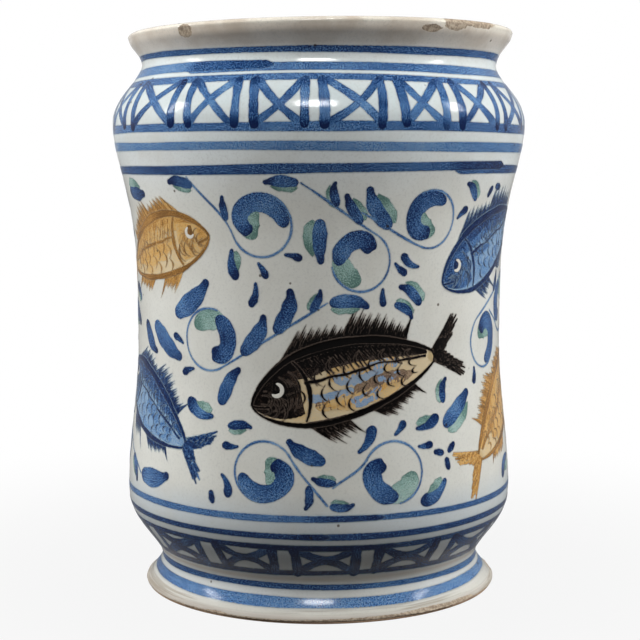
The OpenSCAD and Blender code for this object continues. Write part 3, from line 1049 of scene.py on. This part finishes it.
# %% The shoal
# Angle, height, heading, length, bend and colour of each fish
SHOAL = [(4, 96, 194, 80, 0.03, "brown"), (-51, 149, 12, 66, 0.03, "ochre"),
         (58, 146, 202, 70, 0.04, "blue"), (-66, 85, 158, 66, 0.03, "blue"),
         (77, 84, 32, 68, 0.03, "ochre"), (-107, 131, 20, 72, 0.03, "brown"),
         (113, 134, 172, 74, 0.03, "brown"), (-142, 84, 166, 68, 0.03, "ochre"),
         (137, 82, 12, 66, 0.03, "blue"), (-176, 136, 196, 72, 0.03, "blue")]
# Wash, back, line and fins of each colour as pigment and load, then the dabs as pigment, load and count
PALETTE = {"brown": (("ochre", -0.12), ("manganese", 1.15), ("manganese", 1.25), ("manganese", 1.15),
                     [("ochre", 0.22, 5), ("cobalt", 0.0, 5), ("manganese", 0.14, 3)]),
           "blue": (("cobalt", 0.14), ("cobalt", 1.02), ("cobalt", 1.2), ("cobalt", 1.1),
                    [("cobalt", 0.5, 5), ("cobalt", -0.1, 6)]),
           "ochre": (("ochre", 0.10), ("ochre", 0.56), ("ochre", 0.80), ("ochre", 0.60),
                     [("ochre", 0.40, 9)])}


def mark_taken(fish):
    """Keeps leaves off the body with its back fin, off the belly fins and off both lobes of the tail."""
    spine = np.linspace(0, 1.2, 14)
    take(fish.at(spine, 0.22), 1.04 * fish.depth(spine) + 0.045 * fish.length)
    belly = np.array([0.36, 0.46, 0.72, 0.84])
    take(fish.at(belly, -1 - 0.05 * fish.length / fish.depth(belly)), 0.065 * fish.length)
    for side in (-1, 1):
        lobe = fish.heading + np.pi + side * 0.5
        take(winding(fish.at(0.97, 0.0), lobe, 0.26 * fish.length, side * 0.15), 2.4)


shoal_strokes = {pigment: [] for pigment in PIGMENTS}
for *place, colour in SHOAL:
    fish = Fish(*place)
    wash, back, line, fins, dabs = PALETTE[colour]
    fish_tail(fish, fins)
    for fin in FINS:
        fish_fin(fish, fins, *fin)
    fish_flank(fish, wash, dabs)
    fish.level += COAT
    fish_back(fish, back)
    fish.level += COAT
    fish_head(fish, back, line)
    fish_lines(fish, line)
    fish.level += COAT
    fish_eye(fish, line)
    for pigment in PIGMENTS:
        shoal_strokes[pigment] += fish.strokes[pigment]
    mark_taken(fish)
print(fish.count, "strokes in the last fish,", len(SHOAL), "fish")

# %% Fish pieces
eye_white = Finish("eye_white")
eye_white.set(Base_Color=(0.62, 0.60, 0.54, 1), Roughness=0.16,
              Alpha=eye_white.step(eye_white.attribute("inset"), HALO - 0.1, HALO + 0.15))
lay("fish_cobalt", shoal_strokes["cobalt"], cobalt, "cobalt")
lay("fish_manganese", shoal_strokes["manganese"], manganese, "manganese_brown")
lay("fish_ochre", shoal_strokes["ochre"], ochre, "ochre")
lay("fish_eyes", shoal_strokes["white"], eye_white.material, "white_glaze")

# %% [markdown]
# ## Scrolls and leaves
# The scroll is the common one of painted jars: a thin tendril that coils round a thick curled leaf with a
# soft green dab inside it, and a lead that runs off with long strap leaves, each with a hooked toe. Pairs of
# straps, commas, sprigs of three and dashes fill the gaps. Coils come first, because they need the most
# room, and each smaller kind takes what is left. The coils on the front are listed. The others, and all
# that fills the gaps, are tried at random places and kept where the plan says that they are free. The seed
# is fixed, so every run gives the same jar.

# %% Leaf strokes
stems, blue_leaves, green_leaves, leads = [], [], [], []
# Width of each kind of leaf along its length, as places from 0 to 1 and shares of the full width
LEAVES = {"curl": ((0, 0.22, 0.78, 1), (0.55, 1, 1, 0.7)),
          "strap": ((0, 0.3, 0.64, 0.84, 1), (0.6, 1, 0.96, 0.52, 0.42)),
          "comma": ((0, 0.3, 0.7, 1), (0.32, 0.6, 1, 0.95)),
          "dash": ((0, 0.5, 1), (0.7, 1, 0.6))}
STEM_LIFT, BLUE_LIFT, GREEN_LIFT = 0.036, 0.05, 0.028


def round_about(centre, radius, first, last, steps):
    """Points about a centre from one angle to another. radius is one number or one for each point."""
    turn = first + (last - first) * eased_steps(steps)
    return np.asarray(centre, float) + np.broadcast_to(radius, steps)[:, None] * towards(turn)


def stem(path):
    """A tendril: a thin line whose width and colour come and go."""
    t = np.linspace(0, 1, len(path))
    half = 0.32 + 0.14 * np.sin(np.pi * t) + drift(t, 0.08)
    stems.append(pull(path, half, 0.46 + drift(t, 0.16), STEM_LIFT, across=5))


def blade(path, half, kind, load, pile, lift):
    """A leaf in one pull, round at both ends, with the width of its kind. The colour pools where the brush
    came down and, more, where it lifted off, and one side is darker than the other."""
    t = eased_steps(len(path))
    length = np.hypot(*np.diff(path, axis=0).T).sum()
    width = half * np.interp(t, *LEAVES[kind]) * (1 + drift(t, 0.06, (1, 2, 3)))
    pooled = 0.5 * np.exp(-((1 - t) * length / 4.5) ** 2) + 0.2 * np.exp(-(t * length / 2.2) ** 2)
    colour = load + pooled + drift(t, 0.10, (1, 2))
    lean = chance.uniform(-0.2, 0.2)
    pile.append(pull(path, round_ended(t, length, width), colour, lift, lean=lean))


def try_leaf(start, heading, length, turn, hook, half, kind, gap):
    """A blue leaf whose path turns and then hooks, if its place is free. Its path comes back, or nothing."""
    path = winding(start, heading, length, turn, hook, 22)
    if not is_free(path[::3], 0.85 * half, gap):
        return None
    take(path[::2], 0.9 * half)
    blade(path, half, kind, chance.uniform(0.64, 0.88), blue_leaves, BLUE_LIFT)
    return path


def green_beside(path, half, side):
    """A green dab along one side of a leaf, partly under it, or along the other side if that one isn't
    free."""
    ahead = np.gradient(path, axis=0)
    out = side * np.stack([-ahead[:, 1], ahead[:, 0]], -1) / np.hypot(*ahead.T)[:, None]
    size = half * chance.uniform(0.75, 1.1)
    for way in (out, -out):
        if is_free((path + way * (half + size))[4:15:2], 0.2):
            dab = (path + way * (0.55 * half + 0.4 * size))[2:16]
            blade(dab, size, "curl", chance.uniform(0.42, 0.6), green_leaves, GREEN_LIFT)
            take(dab[::2], size)
            break


print("kinds of leaf:", ", ".join(LEAVES))

# %% Coils
LEAD_LENGTHS = (52, 44, 36, 30, 24, 18, 12)


def run_off(centre, radius, start, first, sense):
    """A lead that leaves the coil from its start. Lengths are tried from long to short, in three rounds, and
    the first that finds room is kept."""
    for length in LEAD_LENGTHS * 3:
        turn = sense * chance.uniform(-1.4, 1.9)
        lead = winding(start, first - sense * np.pi / 2, length, turn, -0.8 * turn, 50)
        clear = lead[np.hypot(*(lead - centre).T) > radius + 1.6]
        if len(clear) > 10 and is_free(clear[::2], 0.6, 0.3):
            stem(lead)
            leads.append(lead)
            break


def coil(centre, radius, first, sense, two_legs):
    """A tendril that runs most of the way round, and a thick leaf that takes over from it, goes on along the
    circle and hooks in at its end. With two legs the leaf is shorter and a green one of the same breadth goes
    the other way from its start. With one there is a green dab in its hollow. A lead runs off from the
    tendril's start, and small leaves sit on the tendril."""
    def arc(reach, begin, end, steps):
        return round_about(centre, reach, first + sense * begin, first + sense * end, steps)

    ring = arc(radius, 0.0, 4.0, 44)
    stem(ring)
    t = eased_steps(40)
    inner = radius * (0.74 - 0.03 * t - 0.30 * ease(t, 0.68, 1.0))
    curl = arc(inner, 4.0 if two_legs else 2.7, 6.6, 40)
    blade(curl, 0.31 * radius, "curl", chance.uniform(0.68, 0.84), blue_leaves, BLUE_LIFT)
    if two_legs:
        dab = arc(radius * (0.70 - 0.10 * eased_steps(22)), 4.6, 2.6, 22)
    else:
        dab = arc(0.34 * radius, 4.4, 7.2, 18)
    blade(dab, 0.33 * radius, "curl", chance.uniform(0.42, 0.58), green_leaves, GREEN_LIFT)
    run_off(centre, radius, ring[0], first, sense)
    take([centre], radius + 0.4)
    for way in (1.1, 1.9):
        outward = first + sense * way
        place = centre + (radius + 2.2) * towards(outward)
        try_leaf(place, outward + sense * 0.9, 7.5, -sense * 0.5, 0.0, 1.6, "comma", -1.0)


def anywhere():
    """A random place in the field."""
    return np.array([chance.uniform(-GIRTH / 2, GIRTH / 2), chance.uniform(FIELD_LOW, FIELD_HIGH)])


# Coils on the front: angle, height, radius, where round the circle the tendril starts, and its sense
FRONT_COILS = [(-16, 160, 12.5, 200, 1), (12, 146, 12.0, 60, -1), (33, 162, 11.5, 250, 1),
               (-33, 114, 12.5, 300, -1), (-15, 63, 12.0, 30, 1), (21, 62, 12.5, 150, -1),
               (60, 111, 11.5, 120, 1)]
FRONT_HALF = 95
for number, (degrees, height, radius, first, sense) in enumerate(FRONT_COILS):
    centre = np.array([np.radians(degrees) * FIELD_REACH, height])
    coil(centre, radius, np.radians(first), sense, number % 2 == 1)
coils = len(FRONT_COILS)
for radius in np.repeat([12.5, 11.5, 10.5], 500):
    place = anywhere()
    if abs(place[0]) > FRONT_HALF and is_free([place], radius + 0.8):
        coil(place, radius, chance.uniform(0, 2 * np.pi), chance.choice([-1, 1]), chance.random() < 0.5)
        coils += 1
print(coils, "coils,", len(leads), "leads")

# %% Leaves on the leads
STRAP_LENGTH, STRAP_HALF = 17, 2.9


def try_strap(start, heading, size, bend, gap, share):
    """A long leaf with a hooked toe, and by chance a green dab along it."""
    half = STRAP_HALF * size
    path = try_leaf(start, heading, STRAP_LENGTH * size, -0.5 * bend, 1.5 * bend, half, "strap", gap)
    if path is not None and chance.random() < share:
        green_beside(path, half, -np.sign(bend))
    return path is not None


for lead in leads:
    ahead = np.diff(lead, axis=0)
    bearing = np.arctan2(ahead[:, 1], ahead[:, 0])
    for pick in (47, 36, 25, 14):
        for side in (-1, 1):
            heading = bearing[pick] + side * chance.uniform(0.3, 0.8)
            start = lead[pick] + 0.8 * towards(heading)
            for size in (1.35, 1.15, 1.0, 0.8, 0.6):
                if try_strap(start, heading, size, side * chance.uniform(0.3, 1.0), 0.1, 0.6):
                    break
    take(lead[::2], 0.7)
print(len(blue_leaves), "blue leaves with those on the leads")

# %% Leaves in the gaps
COMMA_LENGTH, COMMA_HALF = 16, 2.8
FULL_TURN = 2 * np.pi
for size in np.repeat([1.45, 1.25, 1.05], 500):
    place, heading = anywhere(), chance.uniform(0, FULL_TURN)
    if is_free([place], 4.0):
        for way in (0.5, -0.55):
            bend = -np.sign(way) * chance.uniform(0.2, 1.0)
            try_strap(place + 2.0 * towards(heading + way), heading + way, size, bend, -0.4, 0.6)
for size in np.repeat([1.45, 1.2, 1.0, 0.8, 0.65], 900):
    bend = chance.choice([-1, 1]) * chance.uniform(0.7, 1.4)
    heading = chance.uniform(0, FULL_TURN)
    if chance.random() < 0.5:
        try_strap(anywhere(), heading, size, bend, 0.2, 0.8)
    else:
        half = COMMA_HALF * size
        path = try_leaf(anywhere(), heading, COMMA_LENGTH * size, 0.6 * bend, 0.9 * bend, half, "comma", 0.2)
        if path is not None and size > 0.7:
            green_beside(path, half, np.sign(bend))
for _ in range(350):
    place, heading = anywhere(), chance.uniform(0, FULL_TURN)
    if is_free([place], 3.2):
        for way in heading + np.array([0.0, 2.1, -2.0]):
            try_leaf(place + 1.2 * towards(way), way, 5.5, 0.3, 0.0, 1.5, "dash", -0.7)
for _ in range(90):
    length, half = chance.uniform(4.5, 8), chance.uniform(1.1, 1.6)
    try_leaf(anywhere(), chance.uniform(0, FULL_TURN), length, 0.4, 0.4, half, "dash", 1.0)
lay("scroll_stems", stems, cobalt, "cobalt")
lay("scroll_blue_leaves", blue_leaves, cobalt, "cobalt")
lay("scroll_green_leaves", green_leaves, copper, "copper_green")
print(len(blue_leaves), "blue leaves,", len(green_leaves), "green dabs")

# %% [markdown]
# ## Studio
# The jar stands on a white table in a white room. Two wide lamps, one at each side, make its sides bright
# and leave its middle darker, and a third lights it from above. These three draw no highlight. Two narrow
# softboxes draw the small lights at the sides of the shoulder, and one high in front draws the streaks in
# the middle. To the camera, table and room are plain white, but the table keeps the jar's shadow.

# %% Table and room
WHITE = (1, 1, 1, 1)
TABLE_HALF = 4.0
SHADOW = (0.08, 0.36)
ROOM_LIGHT = 0.04


def studio_table():
    """A wide flat table, and its finish: white to the camera and in reflections, with a share of real shading
    close to the jar that carries the shadow."""
    mesh = bpy.data.meshes.new("table")
    corners = [(x * TABLE_HALF, y * TABLE_HALF, 0) for x, y in ((-1, -1), (1, -1), (1, 1), (-1, 1))]
    mesh.from_pydata(corners, [], [(0, 1, 2, 3)])
    white = Finish("white_table")
    path = white.add("LightPath")
    glossy = white.times(path.outputs["Is Glossy Ray"], 0.2)
    seen = white.maths("MAXIMUM", path.outputs["Is Camera Ray"], glossy)
    far = white.add("VectorMath", {0: white.place}, operation="LENGTH").outputs["Value"]
    share = white.times(seen, white.step(far, *SHADOW, 0.91, 1.0))
    white.set(Base_Color=(0.04, 0.04, 0.04, 1), Roughness=0.9)
    glow = white.add("Emission", {"Color": WHITE, "Strength": 1.0})
    white.shine("Material Output", share, white.surface, glow)
    mesh.materials.append(white.material)
    table = put("table", mesh)


def studio_room(level):
    """White to the camera, white in reflections of what stands behind the jar, and an even soft light for
    everything else."""
    world = bpy.data.worlds.new("room")
    world.use_nodes = True
    room = Nodes(world.node_tree)
    soft = room.tree.nodes["Background"]
    room.feed(soft.inputs["Color"], WHITE)
    room.feed(soft.inputs["Strength"], level)
    bright = room.add("Background", {"Color": WHITE})
    path = room.add("LightPath")
    way = room.add("SeparateXYZ", {0: room.add("TexCoord").outputs["Generated"]}).outputs["Y"]
    behind = room.add("MapRange", {"Value": way, "From Min": 0.0, "From Max": 0.5, "To Max": 0.45})
    mirrored = room.times(behind.outputs["Result"], path.outputs["Is Glossy Ray"])
    seen = room.maths("MAXIMUM", path.outputs["Is Camera Ray"], mirrored)
    room.shine("World Output", seen, soft, bright)
    bpy.context.scene.world = world


studio_table()
studio_room(ROOM_LIGHT)
print("table", 2 * TABLE_HALF, "m wide, room light", ROOM_LIGHT)

# %% Softboxes
AIM = Vector((0, 0, 0.13))


def softbox(name, azimuth, elevation, far, wide, tall, power, mirrored=True):
    """A square of light that looks at the jar. Azimuth 0 is in front and grows to the right. One that isn't
    mirrored lights the jar but draws no highlight on it."""
    a, e = np.radians(azimuth), np.radians(elevation)
    way = Vector((np.sin(a) * np.cos(e), -np.cos(a) * np.cos(e), np.sin(e)))
    lamp = bpy.data.lights.new(name, "AREA")
    lamp.shape = "RECTANGLE"
    lamp.size, lamp.size_y = wide, tall
    lamp.energy = power
    held = put(name, lamp)
    held.location = AIM + way * far
    held.rotation_euler = way.to_track_quat("Z", "Y").to_euler()
    held.visible_camera = False
    held.visible_glossy = mirrored
    print(name, "at", tuple(round(x, 2) for x in held.location))


softbox("wide_left", -98, 15, 1.0, 0.8, 0.5, 10.6, False)
softbox("wide_right", 98, 15, 1.0, 0.8, 0.5, 11.3, False)
softbox("softbox_left", -86, 28, 1.0, 0.14, 0.30, 1.8)
softbox("softbox_right", 82, 30, 1.0, 0.14, 0.24, 1.4)
softbox("softbox_front", -1, 43, 1.1, 0.32, 0.20, 6.5)
softbox("softbox_top", 8, 76, 1.0, 0.9, 0.9, 5.0, False)
bpy.context.scene.view_settings.view_transform = "Standard"
